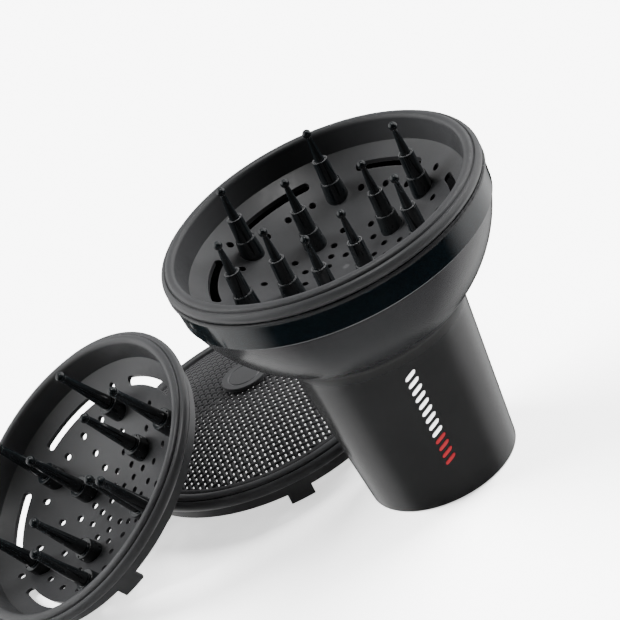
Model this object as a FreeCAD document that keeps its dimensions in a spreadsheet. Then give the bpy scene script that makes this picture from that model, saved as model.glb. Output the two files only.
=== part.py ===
import FreeCAD, Part
import math
import os

import Sketcher
from FreeCAD import Placement, Rotation, Vector

# A hair dryer diffuser: a hollow bell on a tapering neck, a perforated dish plate
# with ten stepped fingers that pushes into the bell, and two loose plates that
# swap with it: one with ten cone fingers, one with a domed mesh.
# Origin at the centre of the neck's mouth, on the surface it stands on.
# +Z runs up the axis to the bell. Millimetres.

DIMENSIONS = {
    # bell and neck
    "rim_height": (147.3, "level of the mounted plate's rim, above the mouth"),
    "mouth_radius": (36.3, "outside of the neck at its mouth"),
    "wall": (2.2, "wall of the bell and neck"),
    "neck_height": (84.9, "where the neck's line meets the bell's arc, outside"),
    "neck_inner_rise": (1.35, "the same corner inside lies this much higher"),
    "neck_fillet": (3.0, "outside radius between neck and bell"),
    "bell_arc_radius": (71.8, "radius of the bell's underside in section"),
    "bell_centre_radius": (6.28, "distance of that arc's centre from the axis"),
    "bell_centre_height": (146.14, "height of that arc's centre"),
    "ridge_height": (126.3, "where the underside meets the side band"),
    "ridge_step": (0.6, "the band stands proud of the underside by this"),
    "band_top_radius": (76.7, "outside of the band at its top"),
    "band_top_height": (138.3, "top of the band, where the bead begins"),
    "bell_top_radius": (77.5, "outside of the bead around the bell's edge"),
    "bell_top_height": (140.6, "top edge of the bell"),
    "bell_bead": (0.9, "rounding of the bead"),
    "mouth_rounding": (0.7, "rounding of the neck's mouth"),
    "socket_radius": (73.3, "bore of the bell that takes a plate's skirt"),
    "rib_inner_radius": (70.4, "inner face of the ribs beside each tongue"),
    "rib_outer_radius": (74.2, "ribs run into the wall to here"),
    "rib_width": (2.0, "tangential width of a rib"),
    "rib_base_height": (127.6, "bottom of the ribs"),
    "rib_length": (6.2, "height of the ribs"),
    # silicone sleeve in the neck
    "sleeve_gap": (0.05, "glue line between sleeve and neck"),
    "sleeve_wall": (2.0, "wall of the sleeve"),
    "sleeve_top": (52.0, "inner end of the sleeve"),
    "lip_radius": (31.0, "bore of the lip at the mouth"),
    "lip_length": (8.0, "length of the lip"),
    "fin_tip_radius": (24.0, "fin tips, where a nozzle is gripped"),
    "fin_top": (50.0, "inner end of the fins"),
    "fin_angle": (3.4, "thickness of a fin, in degrees"),
    "fin_count": (18, "number of fins"),
    "clamp_ring_length": (4.0, "length of the ring above the sleeve"),
    "clamp_ring_wall": (3.4, "wall of that ring"),
    # ring, skirt and tongues, the same on all three plates
    "ring_inner_radius": (69.6, "inner edge of the ring"),
    "ring_drop": (1.9, "that edge below the rim"),
    "inner_roll": (2.7, "rounding of the ring's inner roll"),
    "groove_radius": (74.7, "groove between the two rolls, at its deepest"),
    "groove_width": (0.7, "from there to the outer roll"),
    "groove_inner_depth": (0.6, "edge of the inner roll at the groove, below the rim"),
    "groove_depth": (1.7, "groove below the rim"),
    "groove_outer_depth": (1.4, "edge of the outer roll at the groove, below the rim"),
    "outer_roll": (2.9, "rounding of the ring's outer roll"),
    "ring_base_radius": (76.4, "outer edge of the ring's foot"),
    "ring_thickness": (6.4, "ring's foot below the rim"),
    "skirt_radius": (73.0, "outside of the skirt that enters the bell"),
    "skirt_depth": (13.0, "bottom of the skirt below the rim"),
    "tongue_inner_radius": (70.8, "inner face of a tongue"),
    "tongue_length": (5.5, "a tongue reaches this far below the skirt"),
    "tongue_angle": (9.8, "width of a tongue, in degrees"),
    "tongue_count": (3, "tongues on a plate"),
    # dish
    "dish_radius": (117.0, "sphere radius of the dish's upper face"),
    "dish_wall": (1.8, "thickness of the dish"),
    "dish_depth": (33.4, "centre of the dish below the rim"),
    "dish_edge_radius": (67.7, "crease between dish and ring wall"),
    "hole_radius": (1.75, "air holes"),
    "slot_radius": (58.5, "middle of the long slots"),
    "slot_half_width": (2.0, "half the width of a slot"),
    "slot_count": (6, "number of slots"),
    "gate_radius": (1.6, "dimple at the dish's centre"),
    "gate_depth": (0.6, "depth of that dimple"),
    "outer_finger_circle": (48.5, "six outer fingers stand on this radius"),
    "inner_finger_circle": (27.5, "four inner fingers stand on this radius"),
    "foot_length": (2.8, "a finger's foot below the dish's face"),
    # stepped finger
    "step_foot_radius": (5.5, "foot and bottom of the first stage"),
    "step_one_top_radius": (4.75, "top of the first stage"),
    "step_one_top": (8.2, "height of the first stage"),
    "step_two_radius": (4.05, "bottom of the second stage"),
    "step_two_top_radius": (3.65, "top of the second stage"),
    "step_two_top": (20.0, "height of the second stage's top"),
    "pin_radius": (2.35, "bottom of the pin"),
    "pin_top_radius": (1.15, "top of the pin, under the ball"),
    "pin_ball_radius": (2.1, "ball at the tip"),
    "step_finger_length": (36.6, "tip above the dish's face"),
    "step_lip_width": (0.45, "raised lip around the second stage's top"),
    "step_lip_depth": (0.5, "depth of the recess inside that lip"),
    "step_rounding": (0.3, "rounding of the stage edges"),
    "nick_radius": (0.45, "moulding nick at a stage's edge"),
    # cone finger
    "collar_radius": (5.85, "collar of a cone finger"),
    "collar_top_radius": (5.6, "top of the collar"),
    "collar_height": (6.5, "height of the collar"),
    "cone_radius": (3.65, "bottom of the cone"),
    "cone_top_radius": (1.95, "top of the cone, under the ball"),
    "cone_ball_radius": (2.5, "ball at the tip"),
    "cone_finger_length": (39.4, "tip above the dish's face"),
    "port_radius": (0.7, "air port in the collar's shoulder"),
    "port_circle": (4.7, "distance of the port from the finger's axis"),
    "port_depth": (3.0, "depth of the port"),
    # mesh plate
    "mesh_frame_radius": (67.6, "inside of the mesh plate's ring"),
    "mesh_ledge": (3.2, "the mesh's edge sits this far below the rim"),
    "mesh_rise": (16.0, "height of the dome above its edge"),
    "mesh_thickness": (1.4, "thickness of the mesh"),
    "mesh_border": (4.0, "plain border of the mesh"),
    "mesh_pitch": (8.7, "spacing of the load-bearing threads"),
    "mesh_thread": (1.3, "width of a load-bearing thread"),
    "button_radius": (11.8, "centre button"),
    "button_height": (2.2, "button above the mesh"),
    "button_groove_radius": (8.2, "ring groove in the button"),
    "button_groove_depth": (0.4, "depth of that groove"),
}

# Hole rings of the dish: radius, then angles from an outer finger, in degrees.
HOLE_RINGS = [
    (9.7, [60 * k for k in range(6)]),
    (14.0, [30 + 60 * k for k in range(6)]),
    (20.0, [15 + 30 * k for k in range(12)]),
    (27.4, [30 * k for k in range(12) if k % 3]),
    (37.5, [30 * k for k in range(12)]),
    (48.5, [30 + 60 * k + step for k in range(6) for step in (-15.5, 0, 15.5)]),
    (58.7, [60 * k for k in range(6)]),
]
SLOT_HALF_ANGLE = 16.5

FINGER_RINGS = [("outer", 6), ("inner", 4)]
MOUNTED_ANGLE = 16.2        # first outer finger of the mounted plate
SPARE_ANGLE = 117.2         # first outer finger of the loose plate, about its own axis

# The loose plates: the mesh plate lies flat, and the finger plate leans on its rim.
MESH_CENTRE = Vector(-66, 100, 0)
LEAN_DIRECTION = 20.0       # from the finger plate towards the mesh plate
LEAN_ANGLE = 28.0
PLATE_SPACING = 84.0        # level distance between the plates' lowest centres
LEAN_LIFT = 15.50           # height of the leaning dish's centre: it stands on its low edge

document = FreeCAD.newDocument("DryerDiffuser")
sheet = document.addObject("Spreadsheet::Sheet", "Dims")
for row, (alias, (value, note)) in enumerate(DIMENSIONS.items(), start=1):
    sheet.set("A%d" % row, str(value))
    sheet.set("B%d" % row, note)
    sheet.setAlias("A%d" % row, alias)
document.recompute()

nodes = []


def dim(alias):
    """The value of one cell of the sheet."""
    return float(sheet.get(alias))


def new_body(label):
    """A named sub-part made of PartDesign features."""
    body = document.addObject("PartDesign::Body", label)
    body.Label = label
    nodes.append(body)
    return body


def new_sketch(body, name, role, turn=0.0, height=None):
    """A sketch on one of the body's own planes.

    turn swings an upright sketch about the body's Z axis, or a level one in its plane.
    """
    sketch = body.newObject("Sketcher::SketchObject", body.Name + "_" + name)
    plane = [item for item in body.Origin.OriginFeatures if item.Role == role][0]
    sketch.AttachmentSupport = [(plane, "")]
    sketch.MapMode = "FlatFace"
    axis = Vector(0, 1, 0) if role == "XZ_Plane" else Vector(0, 0, 1)
    sketch.AttachmentOffset = Placement(Vector(0, 0, 0), Rotation(axis, turn))
    if height:
        sketch.setExpression("AttachmentOffset.Base.z", height)
    return sketch


def hold(sketch, kind, *items):
    """Add a driving constraint whose last item is the expression it follows."""
    expression = items[-1]
    value = float(sketch.evalExpression(expression))
    index = sketch.addConstraint(Sketcher.Constraint(kind, *items[:-1], value))
    sketch.setExpression("Constraints[%d]" % index, expression)


def arc_between(start, end, radius):
    """The short arc from start to end; a positive radius bends left of the way."""
    chord = end - start
    half = chord.Length / 2
    side = Vector(-chord.y, chord.x, 0).normalize()
    offset = math.sqrt(radius * radius - half * half)
    centre = (start + end) / 2 + side * math.copysign(offset, radius)
    first, last = (start, end) if radius > 0 else (end, start)
    angles = [math.atan2(p.y - centre.y, p.x - centre.x) for p in (first, last)]
    circle = Part.Circle(centre, Vector(0, 0, 1), abs(radius))
    return Part.ArcOfCircle(circle, angles[0], angles[1])


def add_outline(sketch, corners):
    """A closed outline. A corner is (x, y) or (x, y, radius): two or three expressions.

    The third is the radius of the arc that leads on to the next corner.
    """
    points = [Vector(float(sketch.evalExpression(c[0])),
                     float(sketch.evalExpression(c[1])), 0) for c in corners]
    ends = []
    for index, corner in enumerate(corners):
        start = points[index]
        end = points[(index + 1) % len(points)]
        if len(corner) == 3:
            radius = float(sketch.evalExpression(corner[2]))
            edge = sketch.addGeometry(arc_between(start, end, radius))
            size = corner[2].lstrip("-") if radius < 0 else corner[2]
            hold(sketch, "Radius", edge, size)
            ends.append((edge, 1, 2) if radius > 0 else (edge, 2, 1))
        else:
            edge = sketch.addGeometry(Part.LineSegment(start, end))
            ends.append((edge, 1, 2))
    for index, corner in enumerate(corners):
        edge, start, _ = ends[index]
        before, _, finish = ends[index - 1]
        sketch.addConstraint(Sketcher.Constraint("Coincident", before, finish, edge, start))
        if corner[0] == "0":
            sketch.addConstraint(Sketcher.Constraint("PointOnObject", edge, start, -2))
        else:
            hold(sketch, "DistanceX", -1, 1, edge, start, corner[0])
        if corner[1] == "0":
            sketch.addConstraint(Sketcher.Constraint("PointOnObject", edge, start, -1))
        else:
            hold(sketch, "DistanceY", -1, 1, edge, start, corner[1])


def expressions(text):
    """Write the sheet's aliases in full: a $ stands for its name."""
    return text.replace("$", "Dims.")


def corners_of(*rows):
    """Outline corners from rows of short expressions."""
    return [tuple(expressions(item) for item in row) for row in rows]


def revolve(body, name, corners, turn=0.0, sweep=None):
    """Revolve an outline about Z, all round or through a middle-set angle."""
    sketch = new_sketch(body, name + "Outline", "XZ_Plane", turn)
    add_outline(sketch, corners)
    feature = body.newObject("PartDesign::Revolution", body.Name + "_" + name)
    feature.Profile = sketch
    feature.ReferenceAxis = (sketch, ["V_Axis"])
    feature.Angle = 360
    if sweep:
        feature.Midplane = True
        feature.setExpression("Angle", expressions(sweep))
    document.recompute()
    return feature


def repeat(body, feature, name, count):
    """Repeat a feature evenly about Z."""
    pattern = body.newObject("PartDesign::PolarPattern", body.Name + "_" + name)
    pattern.Originals = [feature]
    axis = [item for item in body.Origin.OriginFeatures if item.Role == "Z_Axis"][0]
    pattern.Axis = (axis, [""])
    pattern.Angle = 360
    pattern.setExpression("Occurrences", expressions(count))
    body.Tip = pattern
    document.recompute()
    return pattern


def circle_edges(shape, radius, height, slack=0.05):
    """Names of the full circles about Z at one radius and height."""
    found = []
    for index, edge in enumerate(shape.Edges, start=1):
        if edge.Degenerated or not isinstance(edge.Curve, Part.Circle) or not edge.isClosed():
            continue
        curve = edge.Curve
        centre = curve.Center
        on_axis = math.hypot(centre.x, centre.y) < slack
        if on_axis and abs(curve.Radius - radius) < slack and abs(centre.z - height) < slack:
            found.append("Edge%d" % index)
    return found


def round_edge(body, base, name, radius, height, size):
    """Fillet the circle at a radius and height."""
    document.recompute()
    fillet = body.newObject("PartDesign::Fillet", body.Name + "_" + name)
    fillet.Base = (base, circle_edges(base.Shape, radius, height))
    fillet.setExpression("Radius", expressions(size))
    document.recompute()
    return fillet


def cut_through(body, name, sketch, length=None):
    """Pocket a level sketch upwards: through everything, or to a length."""
    before = body.Shape.Volume
    pocket = body.newObject("PartDesign::Pocket", body.Name + "_" + name)
    pocket.Profile = sketch
    pocket.Reversed = length is None
    if length:
        pocket.setExpression("Length", expressions(length))
    else:
        pocket.Type = "ThroughAll"
    document.recompute()
    if body.Shape.Volume >= before:
        raise RuntimeError(name + " cuts nothing")
    return pocket


def arc_height(radius):
    """Expression for the bell's outside radius at a height, on the arc of this radius."""
    return "$bell_centre_radius + sqrt((%s)^2 - ($bell_centre_height - (%%s))^2)" % radius


def build_bell():
    """The bell and neck: one hollow moulding with three keyways in its bore."""
    outside = arc_height("$bell_arc_radius")
    inside = arc_height("$bell_arc_radius - $wall")
    socket_foot = ("$bell_centre_height - sqrt(($bell_arc_radius - $wall)^2"
                   " - ($socket_radius - $bell_centre_radius)^2)")
    neck_inner = "$neck_height + $neck_inner_rise"
    body = new_body("bell_shell")
    shell = revolve(body, "Shell", corners_of(
        ("$mouth_radius", "0"),
        (outside % "$neck_height", "$neck_height", "$bell_arc_radius"),
        (outside % "$ridge_height", "$ridge_height"),
        (outside % "$ridge_height" + " + $ridge_step", "$ridge_height + $ridge_step / 2"),
        ("$band_top_radius", "$band_top_height"),
        ("$bell_top_radius", "$band_top_height + $ridge_step"),
        ("$bell_top_radius", "$bell_top_height"),
        ("$socket_radius", "$bell_top_height"),
        ("$socket_radius", socket_foot, "-($bell_arc_radius - $wall)"),
        (inside % neck_inner, neck_inner),
        ("$mouth_radius - $wall", "0")))
    outer_corner = body.evalExpression(expressions(outside % "$neck_height"))
    inner_corner = body.evalExpression(expressions(inside % neck_inner))
    shell = round_edge(body, shell, "NeckFillet", outer_corner, dim("neck_height"),
                       "$neck_fillet")
    shell = round_edge(body, shell, "NeckFilletInside", inner_corner,
                       dim("neck_height") + dim("neck_inner_rise"), "$neck_fillet + $wall")
    shell = round_edge(body, shell, "TopBead", dim("bell_top_radius"),
                       dim("bell_top_height"), "$bell_bead")
    round_edge(body, shell, "MouthEdge", dim("mouth_radius"), 0, "$mouth_rounding")
    half_tongue = dim("tongue_angle") / 2
    rib_turn = math.degrees((dim("rib_width") + 0.4) / dim("socket_radius"))
    gap_turn = math.degrees(0.4 / dim("socket_radius"))
    middle = MOUNTED_ANGLE + 30
    sides = {"Left": middle + half_tongue + gap_turn, "Right": middle - half_tongue - rib_turn}
    for side, turn in sides.items():
        sketch = new_sketch(body, side + "RibOutline", "XY_Plane", turn,
                            "Dims.rib_base_height")
        add_outline(sketch, corners_of(
            ("$rib_inner_radius", "0"),
            ("$rib_outer_radius", "0"),
            ("$rib_outer_radius", "$rib_width"),
            ("$rib_inner_radius", "$rib_width")))
        rib = body.newObject("PartDesign::Pad", "bell_shell_" + side + "Rib")
        rib.Profile = sketch
        rib.setExpression("Length", "Dims.rib_length")
        document.recompute()
        repeat(body, rib, side + "Ribs", "$tongue_count")


def neck_bore(height):
    """Expression for the neck's inside radius at a height."""
    slope = "(%s - $mouth_radius) / $neck_height" % (
        arc_height("$bell_arc_radius") % "$neck_height")
    return "$mouth_radius - $wall + (%s) * (%s)" % (slope, height)


def build_sleeve():
    """The silicone sleeve with its lip and grip fins, and the ring that holds it."""
    body = new_body("nozzle_sleeve")
    outer_foot = neck_bore("0") + " - $sleeve_gap"
    outer_top = neck_bore("$sleeve_top") + " - $sleeve_gap"
    revolve(body, "Wall", corners_of(
        ("$lip_radius", "0"),
        (outer_foot, "0"),
        (outer_top, "$sleeve_top"),
        (outer_top + " - $sleeve_wall", "$sleeve_top"),
        (outer_foot + " - $sleeve_wall", "$lip_length"),
        ("$lip_radius", "$lip_length")))
    fin = revolve(body, "Fin", corners_of(
        ("$fin_tip_radius + 1", "$lip_length + 1"),
        (outer_foot + " - $sleeve_wall / 2", "$lip_length + 1"),
        (outer_top + " - $sleeve_wall / 2", "$fin_top"),
        ("$fin_tip_radius + 3", "$fin_top"),
        ("$fin_tip_radius", "$fin_top - 8"),
        ("$fin_tip_radius", "$lip_length + 6")), sweep="$fin_angle")
    repeat(body, fin, "Fins", "$fin_count")

    ring = new_body("sleeve_clamp_ring")
    top = "$sleeve_top + $clamp_ring_length"
    ring_outer = neck_bore("$sleeve_top") + " - $sleeve_gap"
    revolve(ring, "Ring", corners_of(
        (ring_outer + " - $clamp_ring_wall", "$sleeve_top"),
        (ring_outer, "$sleeve_top"),
        (neck_bore(top) + " - $sleeve_gap", top),
        (ring_outer + " - $clamp_ring_wall", top)))


def ring_corners(rim):
    """The ring's outline from its skirt over the outer roll, a groove and the inner roll."""
    return [
        ("$skirt_radius", rim + " - $skirt_depth"),
        ("$skirt_radius", rim + " - $ring_thickness"),
        ("$ring_base_radius", rim + " - $ring_thickness", "$outer_roll"),
        ("$groove_radius + $groove_width", rim + " - $groove_outer_depth"),
        ("$groove_radius", rim + " - $groove_depth"),
        ("$groove_radius - $groove_width / 2", rim + " - $groove_inner_depth", "$inner_roll"),
        ("$ring_inner_radius", rim + " - $ring_drop"),
    ]


def add_tongues(body, rim, first_angle):
    """Three plain tongues below the skirt."""
    tongue = revolve(body, "Tongue", corners_of(
        ("$tongue_inner_radius", rim + " - $skirt_depth - $tongue_length"),
        ("$skirt_radius", rim + " - $skirt_depth - $tongue_length"),
        ("$skirt_radius", rim + " - $skirt_depth + 0.5"),
        ("$tongue_inner_radius", rim + " - $skirt_depth + 0.5")),
        turn=first_angle, sweep="$tongue_angle")
    repeat(body, tongue, "Tongues", "$tongue_count")


def add_holes(body, name, places, radius):
    """Round holes right through; places are (distance from the axis, angle)."""
    sketch = new_sketch(body, name + "Outline", "XY_Plane")
    for distance, angle in places:
        place = Rotation(Vector(0, 0, 1), angle).multVec(Vector(distance, 0, 0))
        circle = Part.Circle(place, Vector(0, 0, 1), dim(radius))
        edge = sketch.addGeometry(circle)
        hold(sketch, "Radius", edge, "Dims." + radius)
        sketch.addConstraint(Sketcher.Constraint("Distance", -1, 1, edge, 3, distance))
    cut_through(body, name, sketch)


def add_slots(body, angle):
    """Long curved slots with round ends, repeated about the axis."""
    sketch = new_sketch(body, "SlotOutline", "XY_Plane", angle)
    middle = dim("slot_radius")
    half = dim("slot_half_width")
    swing = math.radians(SLOT_HALF_ANGLE)
    up = Vector(0, 0, 1)
    centre = Part.Circle(Vector(0, 0, 0), up, middle + half)
    outer = sketch.addGeometry(Part.ArcOfCircle(centre, -swing, swing))
    centre = Part.Circle(Vector(0, 0, 0), up, middle - half)
    inner = sketch.addGeometry(Part.ArcOfCircle(centre, -swing, swing))
    caps = []
    for sign in (-1, 1):
        place = Vector(middle * math.cos(swing), sign * middle * math.sin(swing), 0)
        start = sign * swing if sign > 0 else math.pi - swing
        cap = Part.ArcOfCircle(Part.Circle(place, up, half), start, start + math.pi)
        caps.append(sketch.addGeometry(cap))
    low, high = caps
    joins = [(outer, 2, high, 1), (high, 2, inner, 2), (inner, 1, low, 1), (low, 2, outer, 1)]
    for join in joins:
        sketch.addConstraint(Sketcher.Constraint("Coincident", *join))
    for edge, size in ((outer, "+"), (inner, "-")):
        sketch.addConstraint(Sketcher.Constraint("Coincident", edge, 3, -1, 1))
        hold(sketch, "Radius", edge, "Dims.slot_radius %s Dims.slot_half_width" % size)
    slot = cut_through(body, "Slot", sketch)
    repeat(body, slot, "Slots", "$slot_count")


def build_dish_plate(label, angle, foot_radius):
    """Ring, wall and perforated dish in one moulding; z 0 is the dish's lowest point.

    angle places the first outer finger about the plate's axis.
    """
    body = new_body(label)
    rim = "$dish_depth + $dish_wall"
    centre = "$dish_wall + $dish_radius"
    outside = "($dish_radius + $dish_wall)"
    skirt_foot = rim + " - $skirt_depth"
    foot_reach = "sqrt(%s^2 - (%s - (%s))^2)" % (outside, centre, skirt_foot)
    edge_height = centre + " - sqrt($dish_radius^2 - $dish_edge_radius^2)"
    revolve(body, "Dish", corners_of(
        ("0", "0", outside),
        (foot_reach, skirt_foot),
        *ring_corners(rim),
        ("$dish_edge_radius", edge_height, "-$dish_radius"),
        ("0", "$dish_wall")))
    add_tongues(body, rim, angle + 30)
    places = [(radius, angle + step) for radius, steps in HOLE_RINGS for step in steps]
    add_holes(body, "Holes", places, "hole_radius")
    feet = [(dim(ring + "_finger_circle"), angle + 360 / count * k)
            for ring, count in FINGER_RINGS for k in range(count)]
    add_holes(body, "FingerHoles", feet, foot_radius)
    add_slots(body, angle + 30)
    sketch = new_sketch(body, "GateOutline", "XY_Plane", 0, "Dims.dish_wall")
    edge = sketch.addGeometry(Part.Circle(Vector(0, 0, 0), Vector(0, 0, 1), 1))
    hold(sketch, "Radius", edge, "Dims.gate_radius")
    sketch.addConstraint(Sketcher.Constraint("Coincident", edge, 3, -1, 1))
    cut_through(body, "Gate", sketch, "$gate_depth")
    return body


def add_dimple(body, name, circle, height, radius, depth):
    """A small blind hole beside a finger's axis, cut down from a height."""
    sketch = new_sketch(body, name + "Outline", "XY_Plane", 0, expressions(height))
    distance = float(body.evalExpression(expressions(circle)))
    place = Part.Circle(Vector(distance, 0, 0), Vector(0, 0, 1), dim(radius))
    edge = sketch.addGeometry(place)
    hold(sketch, "Radius", edge, "Dims." + radius)
    sketch.addConstraint(Sketcher.Constraint("PointOnObject", edge, 3, -1))
    hold(sketch, "DistanceX", -1, 1, edge, 3, expressions(circle))
    cut_through(body, name, sketch, depth)


def ball_corners(neck_radius, ball_radius, tip):
    """Corners from a stem's top over its ball to the tip."""
    drop = "sqrt(%s^2 - %s^2)" % (ball_radius, neck_radius)
    centre = "%s - %s" % (tip, ball_radius)
    return [
        (neck_radius, "%s - %s" % (centre, drop), ball_radius),
        (ball_radius, centre, ball_radius),
        ("0", tip),
    ]


def build_stepped_finger(label):
    """Three stages: a tapered base, a narrower post with a lip, a pin with a ball."""
    body = new_body(label)
    level = "$foot_length + "
    tip = "($foot_length + $step_finger_length)"
    lip_inner = "$step_two_top_radius - $step_lip_width"
    finger = revolve(body, "Finger", corners_of(
        ("0", "0"),
        ("$step_foot_radius", "0"),
        ("$step_foot_radius", "$foot_length"),
        ("$step_one_top_radius", level + "$step_one_top"),
        ("$step_two_radius", level + "$step_one_top"),
        ("$step_two_top_radius", level + "$step_two_top"),
        (lip_inner, level + "$step_two_top"),
        (lip_inner, level + "$step_two_top - $step_lip_depth"),
        ("$pin_radius", level + "$step_two_top - $step_lip_depth"),
        *ball_corners("$pin_top_radius", "$pin_ball_radius", tip)))
    foot = dim("foot_length")
    finger = round_edge(body, finger, "FirstEdge", dim("step_one_top_radius"),
                        foot + dim("step_one_top"), "$step_rounding")
    round_edge(body, finger, "SecondEdge", dim("step_two_top_radius"),
               foot + dim("step_two_top"), "$step_rounding / 2")
    add_dimple(body, "FirstNick", "$step_one_top_radius", level + "$step_one_top",
               "nick_radius", "$nick_radius * 2")
    add_dimple(body, "SecondNick", "$step_two_top_radius", level + "$step_two_top",
               "nick_radius", "$nick_radius * 2")
    return body


def build_cone_finger(label):
    """A collar with an air port, and one thick cone with a ball."""
    body = new_body(label)
    tip = "($foot_length + $cone_finger_length)"
    finger = revolve(body, "Finger", corners_of(
        ("0", "0"),
        ("$collar_radius", "0"),
        ("$collar_radius", "$foot_length"),
        ("$collar_top_radius", "$foot_length + $collar_height"),
        ("$cone_radius", "$foot_length + $collar_height"),
        *ball_corners("$cone_top_radius", "$cone_ball_radius", tip)))
    round_edge(body, finger, "CollarEdge", dim("collar_top_radius"),
               dim("foot_length") + dim("collar_height"), "$step_rounding")
    add_dimple(body, "Port", "$port_circle", "$foot_length + $collar_height",
               "port_radius", "$port_depth")
    return body


def build_fingers(kind, builder, plate_place, angle):
    """Ten fingers of one kind, stood on a plate's two finger circles."""
    for ring, count in FINGER_RINGS:
        circle = dim(ring + "_finger_circle")
        for index in range(count):
            finger = builder("%s_finger_%s_%d" % (kind, ring, index + 1))
            turn = angle + 360 / count * index
            face = (dim("dish_wall") + dim("dish_radius")
                    - math.sqrt(dim("dish_radius") ** 2 - circle ** 2))
            spot = Rotation(Vector(0, 0, 1), turn).multVec(Vector(circle, 0, 0))
            spot.z = face - dim("foot_length")
            stand = Placement(spot, Rotation(Vector(0, 0, 1), turn))
            finger.Placement = plate_place.multiply(stand)


def build_mesh_plate(place):
    """Ring, domed mesh and centre button; z 0 is the foot of the tongues."""
    rim = "$skirt_depth + $tongue_length"
    seat = rim + " - $mesh_ledge"
    ring = new_body("mesh_ring")
    revolve(ring, "Ring", corners_of(
        ("$mesh_frame_radius", rim + " - $skirt_depth"),
        *ring_corners(rim),
        ("$ring_inner_radius", seat),
        ("$mesh_frame_radius", seat)))
    add_tongues(ring, rim, -90)
    ring.Placement = place

    seat_height = dim("skirt_depth") + dim("tongue_length") - dim("mesh_ledge")
    edge_radius = dim("ring_inner_radius")
    rise = dim("mesh_rise")
    dome_radius = (edge_radius ** 2 + rise ** 2) / (2 * rise)
    centre = Vector(0, 0, seat_height + rise - dome_radius)
    shell = Part.makeSphere(dome_radius + dim("mesh_thickness"), centre)
    shell = shell.cut(Part.makeSphere(dome_radius, centre))
    keep = Part.makeCylinder(edge_radius, 3 * rise, Vector(0, 0, seat_height))
    dome = shell.common(keep)
    pitch = dim("mesh_pitch")
    side = pitch - dim("mesh_thread")
    inner_reach = dim("button_radius") - 2
    outer_reach = edge_radius - dim("mesh_border")
    cells = []
    steps = range(-int(outer_reach / pitch) - 1, int(outer_reach / pitch) + 1)
    for column in steps:
        for line in steps:
            low = Vector(column * pitch, line * pitch, seat_height - 1)
            middle = math.hypot(low.x + pitch / 2, low.y + pitch / 2)
            if inner_reach + pitch / 2 < middle < outer_reach - pitch * 0.72:
                corner = low + Vector(dim("mesh_thread") / 2, dim("mesh_thread") / 2, 0)
                cells.append(Part.makeBox(side, side, 2 * rise, corner))
    dome = dome.cut(cells)
    sag = button_sag(dome_radius + dim("mesh_thickness"))
    button_height = centre.z + dome_radius + dim("mesh_thickness") - sag
    seat_cut = Part.makeCylinder(dim("button_radius"), rise, Vector(0, 0, button_height))
    dome = dome.cut(seat_cut)
    mesh = document.addObject("Part::Feature", "mesh_dome")
    mesh.Label = "mesh_dome"
    mesh.Shape = dome
    mesh.Placement = place
    nodes.append(mesh)

    button = new_body("mesh_button")
    top = "$button_height"
    part = revolve(button, "Button", corners_of(
        ("0", "0"),
        ("$button_radius", "0"),
        ("$button_radius", top),
        ("$button_groove_radius + 0.5", top),
        ("$button_groove_radius", top + " - $button_groove_depth"),
        ("$button_groove_radius - 0.5", top),
        ("0", top)))
    round_edge(button, part, "ButtonEdge", dim("button_radius"), dim("button_height"),
               "$step_rounding")
    button.Placement = place.multiply(Placement(Vector(0, 0, button_height), Rotation()))


def button_sag(dome):
    """How far the dome falls away under the button's edge."""
    return dome - math.sqrt(dome ** 2 - dim("button_radius") ** 2)


def leaning_place():
    """The loose finger plate: its low edge on the surface, its dish on the mesh plate's rim."""
    towards = Rotation(Vector(0, 0, 1), LEAN_DIRECTION).multVec(Vector(1, 0, 0))
    lean = Rotation(towards.cross(Vector(0, 0, 1)), LEAN_ANGLE)
    return Placement(MESH_CENTRE - towards * PLATE_SPACING + Vector(0, 0, LEAN_LIFT), lean)


build_bell()
build_sleeve()
mounted_place = Placement(Vector(0, 0, dim("rim_height") - dim("dish_depth")
                                 - dim("dish_wall")), Rotation())
mounted = build_dish_plate("finger_plate", MOUNTED_ANGLE, "step_foot_radius")
mounted.setExpression("Placement.Base.z",
                      "Dims.rim_height - Dims.dish_depth - Dims.dish_wall")
build_fingers("stepped", build_stepped_finger, mounted_place, MOUNTED_ANGLE)
spare_place = leaning_place()
spare = build_dish_plate("spare_finger_plate", SPARE_ANGLE, "collar_radius")
spare.Placement = spare_place
build_fingers("cone", build_cone_finger, spare_place, SPARE_ANGLE)
build_mesh_plate(Placement(MESH_CENTRE, Rotation()))
document.recompute()

for item in document.Objects:
    for state in item.State:
        if state in ("Invalid", "Error"):
            raise RuntimeError(item.Label + " failed to build")

os.makedirs("parts", exist_ok=True)
for node in nodes:
    shape = node.Shape
    if shape.isNull() or not shape.isValid():
        raise RuntimeError(node.Label + " has no valid shape")
    print("%-28s %9.1f mm3, %d solid" % (node.Label, shape.Volume, len(shape.Solids)))
    shape.exportStep("parts/" + node.Label + ".step")
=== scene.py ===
"""Looks of a hair dryer diffuser: bell and neck, a mounted plate of stepped fingers,
a loose plate of cone fingers and a loose mesh plate, on a pale studio floor."""

import math

import bpy
from mathutils import Matrix, Vector


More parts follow.
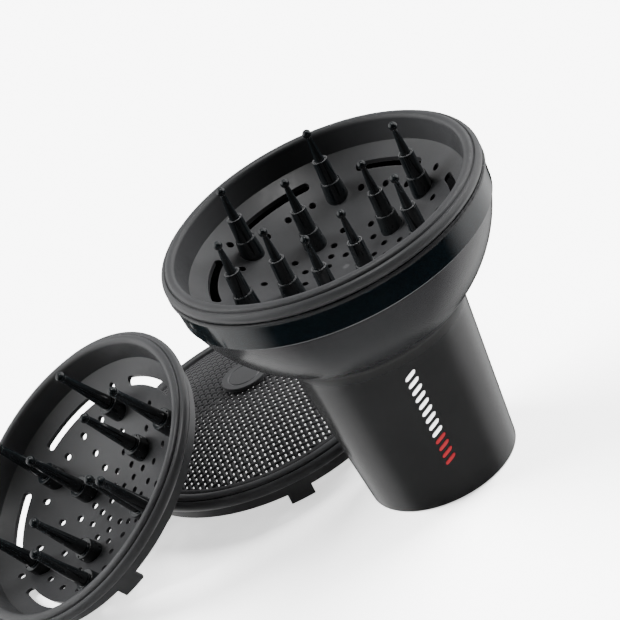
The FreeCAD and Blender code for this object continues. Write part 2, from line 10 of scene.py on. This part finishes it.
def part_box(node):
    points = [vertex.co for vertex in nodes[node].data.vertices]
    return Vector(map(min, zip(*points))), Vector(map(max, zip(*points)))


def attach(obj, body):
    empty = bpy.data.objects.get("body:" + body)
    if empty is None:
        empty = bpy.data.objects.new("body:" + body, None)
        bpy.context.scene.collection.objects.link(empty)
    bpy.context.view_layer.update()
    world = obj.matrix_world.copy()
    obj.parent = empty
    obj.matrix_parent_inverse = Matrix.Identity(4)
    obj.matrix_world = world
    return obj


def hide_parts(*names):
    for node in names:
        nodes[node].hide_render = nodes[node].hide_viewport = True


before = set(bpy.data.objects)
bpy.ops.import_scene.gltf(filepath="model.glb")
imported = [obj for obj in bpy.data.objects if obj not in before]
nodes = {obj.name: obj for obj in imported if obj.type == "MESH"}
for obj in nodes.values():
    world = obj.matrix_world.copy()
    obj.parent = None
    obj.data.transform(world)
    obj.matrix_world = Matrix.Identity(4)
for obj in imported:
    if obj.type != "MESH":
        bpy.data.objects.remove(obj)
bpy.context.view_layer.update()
MM = 0.001

# ---------------------------------------------------------------- places from the frame

RIM_HEIGHT = 147.3 * MM
mesh_low, mesh_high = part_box("mesh_ring")
MESH_CENTRE = Vector(((mesh_low.x + mesh_high.x) / 2, (mesh_low.y + mesh_high.y) / 2, 0))
DOME_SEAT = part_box("mesh_dome")[0].z
DOME_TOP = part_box("mesh_button")[0].z
DOME_EDGE = (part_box("mesh_dome")[1].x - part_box("mesh_dome")[0].x) / 2

# the neck is a cone: its outside radius at the mouth, and what it gains per height
NECK_RADIUS = 36.3 * MM
NECK_SLOPE = 0.0887

# heights on the bell: where it meets the neck, its ridge (painted with a bright highlight line)
# and its polished band
CREASE = 84.0 * MM
RIDGE_LOW = 126.0 * MM
BAND_LOW = 126.5 * MM
BAND_HIGH = 138.4 * MM

# heights over which one of the bell's surfaces passes into the next
BLEND_LOW = 0.3 * MM
BLEND_HIGH = 0.2 * MM
NECK_BLEND = 8 * MM
CREASE_FOOT, CREASE_HOLD, CREASE_END = 5 * MM, 2 * MM, 8 * MM


# ---------------------------------------------------------------- materials

BEVEL_SAMPLES = 4
EDGE_TURN = (0.82, 0.99)    # cosine of the bent normal: full edge tone, no edge tone (worn edges on most parts, a painted highlight on the fingers)


class Graph:
    """A short way to write one material's nodes."""

    def __init__(self, name):
        self.material = bpy.data.materials.new(name)
        self.material.use_nodes = True
        self.tree = self.material.node_tree
        self.tree.nodes.clear()
        self.shader = self.add("ShaderNodeBsdfPrincipled")
        output = self.add("ShaderNodeOutputMaterial")
        self.link(self.shader.outputs["BSDF"], output.inputs["Surface"])
        self.place = self.add("ShaderNodeTexCoord").outputs["Object"]

    def add(self, kind, **inputs):
        node = self.tree.nodes.new(kind)
        for name, value in inputs.items():
            node.inputs[name].default_value = value
        return node

    def link(self, source, target):
        self.tree.links.new(source, target)

    def noise(self, size, detail=2.0, rough=0.5):
        """Noise whose blotches are about size metres across, from 0 to 1."""
        node = self.add("ShaderNodeTexNoise", Scale=1 / size, Detail=detail, Roughness=rough)
        self.link(self.place, node.inputs["Vector"])
        return node.outputs["Fac"]

    def remap(self, value, low, high, start=0.3, end=0.7):
        """Spread a value between start and end over low to high."""
        node = self.tree.nodes.new("ShaderNodeMapRange")
        for name, number in (("From Min", start), ("From Max", end),
                             ("To Min", low), ("To Max", high)):
            node.inputs[name].default_value = number
        self.link(value, node.inputs["Value"])
        return node.outputs["Result"]

    def math(self, operation, first, second):
        node = self.tree.nodes.new("ShaderNodeMath")
        node.operation = operation
        for index, value in enumerate((first, second)):
            if isinstance(value, float):
                node.inputs[index].default_value = value
            else:
                self.link(value, node.inputs[index])
        return node.outputs["Value"]

    def mix(self, factor, first, second):
        """Blend two colours."""
        node = self.tree.nodes.new("ShaderNodeMix")
        node.data_type = "RGBA"
        for index, value in ((6, first), (7, second)):
            if isinstance(value, tuple):
                node.inputs[index].default_value = (*value, 1)
            else:
                self.link(value, node.inputs[index])
        self.link(factor, node.inputs[0])
        return node.outputs[2]

    def bump(self, height, depth, strength=1.0, after=None):
        """Bump of a depth in metres, on top of an earlier one."""
        node = self.add("ShaderNodeBump", Strength=strength, Distance=depth)
        self.link(height, node.inputs["Height"])
        if after:
            self.link(after, node.inputs["Normal"])
        return node.outputs["Normal"]

    def edges(self, radius):
        """1 where an edge or corner is within radius metres, 0 on open faces."""
        bevel = self.tree.nodes.new("ShaderNodeBevel")
        bevel.samples = BEVEL_SAMPLES
        bevel.inputs["Radius"].default_value = radius
        geometry = self.add("ShaderNodeNewGeometry")
        dot = self.tree.nodes.new("ShaderNodeVectorMath")
        dot.operation = "DOT_PRODUCT"
        self.link(bevel.outputs["Normal"], dot.inputs[0])
        self.link(geometry.outputs["Normal"], dot.inputs[1])
        return self.remap(dot.outputs["Value"], 1.0, 0.0, *EDGE_TURN)


ROUGH_SPREAD = 0.045        # how unevenly a moulded surface shines
CLOUD = 30 * MM             # size of the blotches in its tone
WAVE = 20 * MM              # length and depth of the waves that a mould leaves
WAVE_DEPTH = 0.02 * MM


def moulded(name, dark, light, rough, grain_size, grain_depth, edge_wear_and_glint=None, specular=0.5,
            edge_tone_radius=0.5 * MM):
    """Moulded plastic: cloudy tone, pressed grain, uneven gloss and lighter edges, worn on most
    parts and a painted highlight on the fingers.
    """
    g = Graph(name)
    clouds = g.noise(CLOUD, 3.0)
    tone = g.mix(g.remap(clouds, 0.0, 1.0), dark, light)
    # lighter edges: worn on most parts; on the fingers this is a painted highlight on the rims of
    # the steps
    if edge_wear_and_glint:
        tone = g.mix(g.edges(edge_tone_radius), tone, edge_wear_and_glint)
    g.link(tone, g.shader.inputs["Base Color"])
    fine = g.noise(grain_size * 6, 3.0, 0.6)
    g.link(g.remap(fine, rough - ROUGH_SPREAD, rough + ROUGH_SPREAD), g.shader.inputs["Roughness"])
    grain = g.noise(grain_size, 2.0, 0.65)
    normal = g.bump(grain, grain_depth)
    waves = g.noise(WAVE, 1.0)
    g.link(g.bump(waves, WAVE_DEPTH, 0.6, normal), g.shader.inputs["Normal"])
    g.shader.inputs["Specular IOR Level"].default_value = specular
    return g.material


def printed(name, colour):
    """Screen-printed ink: slightly uneven cover and a dull gloss."""
    g = Graph(name)
    pale = tuple(min(1.0, c * 1.1) for c in colour)
    g.link(g.mix(g.remap(g.noise(1.2 * MM, 3.0), 0.0, 1.0), colour, pale),
           g.shader.inputs["Base Color"])
    g.link(g.remap(g.noise(0.8 * MM), 0.38, 0.5), g.shader.inputs["Roughness"])
    g.link(g.bump(g.noise(0.3 * MM), 0.004 * MM), g.shader.inputs["Normal"])
    g.shader.inputs["Specular IOR Level"].default_value = 0.15
    return g.material


def bell_plastic(name):
    """Satin black on the neck and underside, polished black on the band.

    Object Z picks the zones: neck (painted a little darker, as shade under the bell), crease,
    underside, the ridge with a painted highlight line, and band.
    """
    satin_dark, satin_light = (0.0078, 0.0080, 0.0083), (0.0092, 0.0094, 0.0098)
    polished_dark, polished_light = (0.0004, 0.0011, 0.0015), (0.0007, 0.0015, 0.0020)
    neck_shade_dark, neck_shade_light = (0.0064, 0.0065, 0.0066), (0.0076, 0.0077, 0.0078)
    ridge_glint_tone = (0.075, 0.075, 0.077)
    satin_rough, polished_rough, crease_rough = (0.21, 0.23), (0.06, 0.10), 0.35
    satin_blotch, polished_blotch = 6 * MM, 4 * MM
    specular, band_specular, neck_specular = 0.5, 0.2, -0.12
    g = Graph(name)
    clouds = g.remap(g.noise(CLOUD, 3.0), 0.0, 1.0)
    split = g.add("ShaderNodeSeparateXYZ")
    g.link(g.place, split.inputs["Vector"])
    height = split.outputs["Z"]
    above = g.remap(height, 0.0, 1.0, BAND_LOW, BAND_LOW + BLEND_LOW)
    below = g.remap(height, 1.0, 0.0, BAND_HIGH, BAND_HIGH + BLEND_HIGH)
    band = g.math("MULTIPLY", above, below)
    satin = g.mix(clouds, satin_dark, satin_light)
    # the neck is painted a little darker than the underside: painted shade under the bell
    neck = g.remap(height, 1.0, 0.0, CREASE - NECK_BLEND, CREASE)
    satin = g.mix(neck, satin, g.mix(clouds, neck_shade_dark, neck_shade_light))
    # a thin lighter band just under the polished band: a painted highlight along the ridge line
    ridge = g.math("MULTIPLY", g.remap(height, 0.0, 1.0, RIDGE_LOW, RIDGE_LOW + BLEND_HIGH),
                   g.remap(height, 1.0, 0.0, BAND_LOW, BAND_LOW + BLEND_LOW))
    satin = g.mix(ridge, satin, ridge_glint_tone)
    polished = g.mix(clouds, polished_dark, polished_light)
    g.link(g.mix(band, satin, polished), g.shader.inputs["Base Color"])
    dull = g.remap(g.noise(satin_blotch, 1.0, 0.5), *satin_rough)
    bright = g.remap(g.noise(polished_blotch, 2.0), *polished_rough)
    crease_foot = g.remap(height, 0.0, crease_rough, CREASE - CREASE_FOOT, CREASE)
    crease_end = g.remap(height, 1.0, 0.0, CREASE + CREASE_HOLD, CREASE + CREASE_END)
    crease = g.math("MULTIPLY", crease_foot, crease_end)
    dull = g.math("ADD", dull, crease)
    dull_part = g.math("MULTIPLY", dull, g.math("SUBTRACT", 1.0, band))
    bright_part = g.math("MULTIPLY", bright, band)
    g.link(g.math("ADD", dull_part, bright_part), g.shader.inputs["Roughness"])
    gloss = g.math("ADD", g.math("MULTIPLY", band, band_specular),
                   g.math("MULTIPLY", neck, neck_specular))
    g.link(g.math("ADD", gloss, specular), g.shader.inputs["Specular IOR Level"])
    g.link(g.bump(g.noise(WAVE, 1.0), WAVE_DEPTH, 0.5), g.shader.inputs["Normal"])
    return g.material


bell_black = bell_plastic("bell_black")
clamp_black = moulded("clamp_black", (0.010, 0.010, 0.0105), (0.013, 0.013, 0.0135),
                     rough=0.24, grain_size=0.22 * MM, grain_depth=0.0006 * MM,
                     edge_wear_and_glint=(0.030, 0.030, 0.031))
plate_grey = moulded("plate_grey", (0.0113, 0.0115, 0.0120), (0.0152, 0.0154, 0.0161),
                     rough=0.33, grain_size=0.50 * MM, grain_depth=0.026 * MM,
                     edge_wear_and_glint=(0.026, 0.026, 0.027), specular=0.6)
# the fingers' light edge tone is a painted highlight on the rims of their steps
finger_black = moulded("finger_black", (0.0016, 0.0023, 0.0027), (0.0025, 0.0033, 0.0038),
                       rough=0.12, grain_size=0.15 * MM, grain_depth=0.0004 * MM,
                       edge_wear_and_glint=(0.12, 0.12, 0.122), specular=0.9, edge_tone_radius=0.3 * MM)
mesh_black = moulded("mesh_black", (0.007, 0.007, 0.0075), (0.010, 0.010, 0.0105),
                     rough=0.32, grain_size=0.12 * MM, grain_depth=0.002 * MM)
silicone = moulded("silicone", (0.018, 0.018, 0.019), (0.026, 0.026, 0.028),
                   rough=0.62, grain_size=0.35 * MM, grain_depth=0.008 * MM, specular=0.35)
ink_white = printed("ink_white", (0.82, 0.82, 0.82))
ink_red = printed("ink_red", (0.17, 0.0002, 0.0040))


def material_for(node):
    if "_finger_" in node and not node.endswith("plate"):
        return finger_black
    if node in ("finger_plate", "spare_finger_plate", "mesh_ring", "mesh_button"):
        return plate_grey
    if node == "nozzle_sleeve":
        return silicone
    return bell_black if node == "bell_shell" else clamp_black


for name, item in nodes.items():
    item.data.materials.clear()
    item.data.materials.append(material_for(name))


# ---------------------------------------------------------------- mesh helpers

def add_mesh(name, points, faces, material, body):
    """A smooth-shaded mesh piece that rides on a body."""
    data = bpy.data.meshes.new(name)
    data.from_pydata(points, [], faces)
    data.update()
    data.polygons.foreach_set("use_smooth", [True] * len(data.polygons))
    data.materials.append(material)
    piece = bpy.data.objects.new(name, data)
    bpy.context.scene.collection.objects.link(piece)
    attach(piece, body)
    return piece


def lathe(profile, centre, steps=256):
    """Points and faces of a closed outline of (radius, height) turned about Z."""
    points = []
    for k in range(steps):
        turn = 2 * math.pi * k / steps
        points += [centre + Vector((r * math.cos(turn), r * math.sin(turn), z))
                   for r, z in profile]
    count = len(profile)
    faces = []
    for k in range(steps):
        here, there = k * count, (k + 1) % steps * count
        for i in range(count):
            j = (i + 1) % count
            faces.append((here + i, there + i, there + j, here + j))
    return points, faces


# ---------------------------------------------------------------- the fine mesh

PITCH = 2.9 * MM            # from one thread to the next
THREAD = 1.12 * MM          # half the width of a thread
THREAD_FLATNESS = 0.51      # height of a thread against its width
THREAD_SIDES = 8
WEAVE = 0.26 * MM           # how far a thread rises and dips over its neighbours
BORDER = 2.6 * MM           # width of the band that the threads end in
TOP_GAP = 0.6 * MM          # from the dome's middle surface up to its top
SEAT_GAP = 0.9 * MM         # and down to its seat at the edge

# outline of the band that the threads end in
BORDER_FIT = 0.05 * MM
BORDER_UNDER = 0.6 * MM
INNER_SHOULDER, INNER_CROWN = 0.4 * MM, 0.85 * MM
OUTER_SHOULDER, OUTER_CROWN = 0.5 * MM, 0.95 * MM


def dome_height(radius):
    """Height of the dome's middle surface at a distance from its axis."""
    top = DOME_TOP - TOP_GAP
    rise = top - DOME_SEAT - SEAT_GAP
    ball = (DOME_EDGE ** 2 + rise ** 2) / (2 * rise)
    return top - ball + math.sqrt(ball ** 2 - radius ** 2)


def thread(across, along_x, side, points, faces):
    """One thread of the mesh: a flattened tube that follows the dome and weaves."""
    reach = math.sqrt((DOME_EDGE - BORDER / 2) ** 2 - across ** 2)
    count = max(2, int(2 * reach / (PITCH / 4)))
    ring = THREAD_SIDES
    first = len(points)
    for step in range(count + 1):
        along = -reach + 2 * reach * step / count
        height = dome_height(math.hypot(across, along))
        height += side * WEAVE * math.cos(math.pi * along / PITCH)
        x, y = (along, across) if along_x else (across, along)
        for k in range(ring):
            turn = 2 * math.pi * k / ring
            sideways = THREAD * math.cos(turn)
            lift = THREAD * THREAD_FLATNESS * math.sin(turn)
            dx, dy = (0, sideways) if along_x else (sideways, 0)
            points.append(MESH_CENTRE + Vector((x + dx, y + dy, height + lift)))
    for step in range(count):
        here = first + step * ring
        for k in range(ring):
            j = (k + 1) % ring
            quad = (here + k, here + j, here + ring + j, here + ring + k)
            faces.append(quad if along_x else quad[::-1])
    ends = [list(range(first, first + ring))[::-1],
            list(range(first + count * ring, first + (count + 1) * ring))]
    faces.extend(ends if along_x else [end[::-1] for end in ends])


def build_mesh():
    """The fine woven dome that stands for the CAD's coarse one."""
    points, faces = [], []
    most = int((DOME_EDGE - BORDER) / PITCH)
    for index in range(-most, most + 1):
        side = 1 if index % 2 else -1
        thread(index * PITCH, True, side, points, faces)
        thread(index * PITCH, False, -side, points, faces)
    woven = add_mesh("woven_dome", points, faces, mesh_black, "loose_mesh_plate")
    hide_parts("mesh_dome")

    inner = DOME_EDGE - BORDER
    outer = DOME_EDGE - BORDER_FIT
    low, high = dome_height(inner), dome_height(outer)
    band = [(inner, low - BORDER_UNDER), (outer, high - BORDER_UNDER),
            (outer, high + OUTER_SHOULDER), (outer - OUTER_SHOULDER, high + OUTER_CROWN),
            (inner + INNER_SHOULDER, low + INNER_CROWN), (inner, low + INNER_SHOULDER)]
    points, faces = lathe(band, MESH_CENTRE)
    add_mesh("mesh_border", points, faces, mesh_black, "loose_mesh_plate")


build_mesh()


# ---------------------------------------------------------------- print on the neck

MARK_AZIMUTH = math.radians(-86)
MARK_TOP = 73 * MM          # height of the first stroke's middle
STROKE_PITCH = 4.2 * MM
STROKE_WIDTH = 2.1 * MM
STROKE_REACH = 2.9 * MM     # half of a stroke's length, round the neck
STROKE_SLANT = 1.5 * MM     # how far a stroke's end stands above its middle
STROKE_TIP = 0.25           # a stroke's width at its ends, as a share of its full width
WHITE_STROKES = 9
RED_STROKES = 4
INK = 0.05 * MM             # the ink stands this far out of the neck


def on_neck(height, sideways, proud):
    """A point on the neck's cone, sideways metres round from the mark's line."""
    radius = NECK_RADIUS + NECK_SLOPE * height
    turn = MARK_AZIMUTH + sideways / radius
    radius += proud
    return Vector((radius * math.cos(turn), radius * math.sin(turn), height))


def build_strokes(name, first, count, material):
    """A row of slanted strokes with rounded ends, printed along the neck."""
    points, faces = [], []
    columns, rows = 4, 10
    for index in range(first, first + count):
        middle = MARK_TOP - index * STROKE_PITCH
        start = len(points)
        for proud in (INK, -INK):
            for row in range(rows + 1):
                t = 2 * row / rows - 1
                half = STROKE_WIDTH / 2 * max(STROKE_TIP, math.sqrt(1 - t ** 6))
                for column in range(columns + 1):
                    across = half * (2 * column / columns - 1)
                    height = middle + across + STROKE_SLANT * t
                    points.append(on_neck(height, STROKE_REACH * t, proud))
        width = columns + 1
        sheet = (rows + 1) * width
        for row in range(rows):
            for column in range(columns):
                a = start + row * width + column
                faces.append((a, a + width, a + width + 1, a + 1))
                b = a + sheet
                faces.append((b, b + 1, b + width + 1, b + width))
        rim = [row * width for row in range(rows)]
        rim += [rows * width + column for column in range(columns)]
        rim += [row * width + columns for row in range(rows, 0, -1)]
        rim += list(range(columns, 0, -1))
        for k, a in enumerate(rim):
            b = rim[(k + 1) % len(rim)]
            faces.append((start + a, start + a + sheet, start + b + sheet, start + b))
    strokes = add_mesh(name, points, faces, material, "housing")
    strokes.visible_glossy = False


build_strokes("neck_print_white", 0, WHITE_STROKES, ink_white)
build_strokes("neck_print_red", WHITE_STROKES, RED_STROKES, ink_red)


# ---------------------------------------------------------------- studio

SUN_WIDTH = math.radians(40)


def soft_sun(name, towards, strength):
    """A broad, far-off light from a direction."""
    data = bpy.data.lights.new(name, "SUN")
    data.energy = strength
    data.angle = SUN_WIDTH
    lamp = bpy.data.objects.new(name, data)
    lamp.rotation_euler = Vector(towards).to_track_quat("Z", "Y").to_euler()
    lamp.visible_glossy = False
    bpy.context.scene.collection.objects.link(lamp)


FLOOR_GLOW = 1.2
FLOOR_SIZE = 4.0            # half of the floor's width
FLOOR_DROP = 0.2 * MM       # the floor lies this far below the part's foot


def build_floor():
    """A pale paper floor that lights the part but isn't mirrored in it."""
    corners = [(x * FLOOR_SIZE, y * FLOOR_SIZE, -FLOOR_DROP)
               for x, y in ((-1, -1), (1, -1), (1, 1), (-1, 1))]
    data = bpy.data.meshes.new("floor")
    data.from_pydata(corners, [], [(0, 1, 2, 3)])
    g = Graph("floor_paint")
    g.link(g.mix(g.noise(0.6), (0.93, 0.93, 0.93), (0.95, 0.95, 0.95)),
           g.shader.inputs["Base Color"])
    g.shader.inputs["Roughness"].default_value = 0.9
    g.shader.inputs["Specular IOR Level"].default_value = 0.0
    g.shader.inputs["Emission Color"].default_value = (1, 1, 1, 1)
    g.shader.inputs["Emission Strength"].default_value = FLOOR_GLOW
    data.materials.append(g.material)
    floor = bpy.data.objects.new("floor", data)
    bpy.context.scene.collection.objects.link(floor)
    floor.visible_glossy = False
    floor.visible_shadow = False


class Sky:
    """The world's brightness as a sum of soft panels, each a direction and a reach."""

    def __init__(self, base):
        world = bpy.data.worlds.new("studio")
        bpy.context.scene.world = world
        world.use_nodes = True
        self.tree = world.node_tree
        place = self.tree.nodes.new("ShaderNodeTexCoord")
        self.direction = place.outputs["Generated"]
        self.total = None
        self.base = base

    def math(self, operation, first, second):
        node = self.tree.nodes.new("ShaderNodeMath")
        node.operation = operation
        for index, value in enumerate((first, second)):
            if isinstance(value, (int, float)):
                node.inputs[index].default_value = value
            else:
                self.tree.links.new(value, node.inputs[index])
        return node.outputs["Value"]

    def panel(self, towards, inner, outer, power):
        """Full power within inner degrees of a direction, nothing beyond outer degrees."""
        aim = Vector(towards).normalized()
        dot = self.tree.nodes.new("ShaderNodeVectorMath")
        dot.operation = "DOT_PRODUCT"
        dot.inputs[1].default_value = aim
        self.tree.links.new(self.direction, dot.inputs[0])
        fade = self.tree.nodes.new("ShaderNodeMapRange")
        fade.interpolation_type = "SMOOTHSTEP"
        fade.inputs["From Min"].default_value = math.cos(math.radians(outer))
        fade.inputs["From Max"].default_value = math.cos(math.radians(inner))
        fade.inputs["To Max"].default_value = power
        self.tree.links.new(dot.outputs["Value"], fade.inputs["Value"])
        value = fade.outputs["Result"]
        self.total = self.math("ADD", value, self.total if self.total else self.base)

    def finish(self):
        strength = self.tree.nodes["Background"].inputs["Strength"]
        self.tree.links.new(self.math("MAXIMUM", self.total, DARKEST), strength)


BEHIND = (0, 0.88, -0.47)   # beyond the part, along the camera's line of sight
ROOM = 0.25                 # brightness of the room between the panels
DARKEST = 0.02
SIDE_POWER_LEFT = 22.0
SIDE_POWER_RIGHT = 24.75


def build_world():
    """A dim room with broad soft panels at both sides, high and low, and behind."""
    sky = Sky(ROOM)
    for side, power in ((-1, SIDE_POWER_LEFT), (1, SIDE_POWER_RIGHT)):
        sky.panel((side * 0.80, 0.42, -0.50), 14, 42, power)        # the neck's sides
        sky.panel((side * 0.85, 0.15, 0.50), 16, 44, power)         # the bell's sides
        sky.panel((side * 0.55, 0.80, 0.15), 8, 25, 14.0)           # the ring's crest
    sky.panel((0, 0.62, -0.80), 15, 55, 5.0)                        # the bell's underside
    sky.panel((0, 0.85, 0.50), 15, 50, 7.5)                         # the dishes
    sky.panel((0, 0.30, 0.95), 8, 30, 4.0)                          # upward faces
    sky.panel((0.15, 0.00, 0.99), 6, 11, 115.0)                     # glints on the fingers
    sky.panel(BEHIND, 9, 21, -14.0)                                 # keeps outlines dark
    sky.finish()


build_floor()
build_world()
soft_sun("sun_left", (-0.75, 0.35, 0.60), 18.5)
soft_sun("sun_right", (0.80, 0.45, 0.60), 20.0)


# ---------------------------------------------------------------- camera

ELEVATION = math.radians(27.97)
ROLL = math.radians(27.01)
DISTANCE = 1.5
LENS = 196.5
AIM_RIGHT = 0.00284         # the frame's centre from the rim's centre, in the camera's axes
AIM_UP = 0.04587

back = Vector((0, -math.cos(ELEVATION), math.sin(ELEVATION)))
level_right = Vector((1, 0, 0))
level_up = Vector((0, math.sin(ELEVATION), math.cos(ELEVATION)))
right = math.cos(ROLL) * level_right - math.sin(ROLL) * level_up
up = math.sin(ROLL) * level_right + math.cos(ROLL) * level_up
lens = bpy.data.cameras.new("camera")
lens.lens = LENS
lens.sensor_width = 36
camera = bpy.data.objects.new("camera", lens)
bpy.context.scene.collection.objects.link(camera)
turn = Matrix((right, up, back)).transposed().to_4x4()
spot = Vector((0, 0, RIM_HEIGHT)) + back * DISTANCE - right * AIM_RIGHT - up * AIM_UP
camera.matrix_world = Matrix.Translation(spot) @ turn
bpy.context.scene.camera = camera
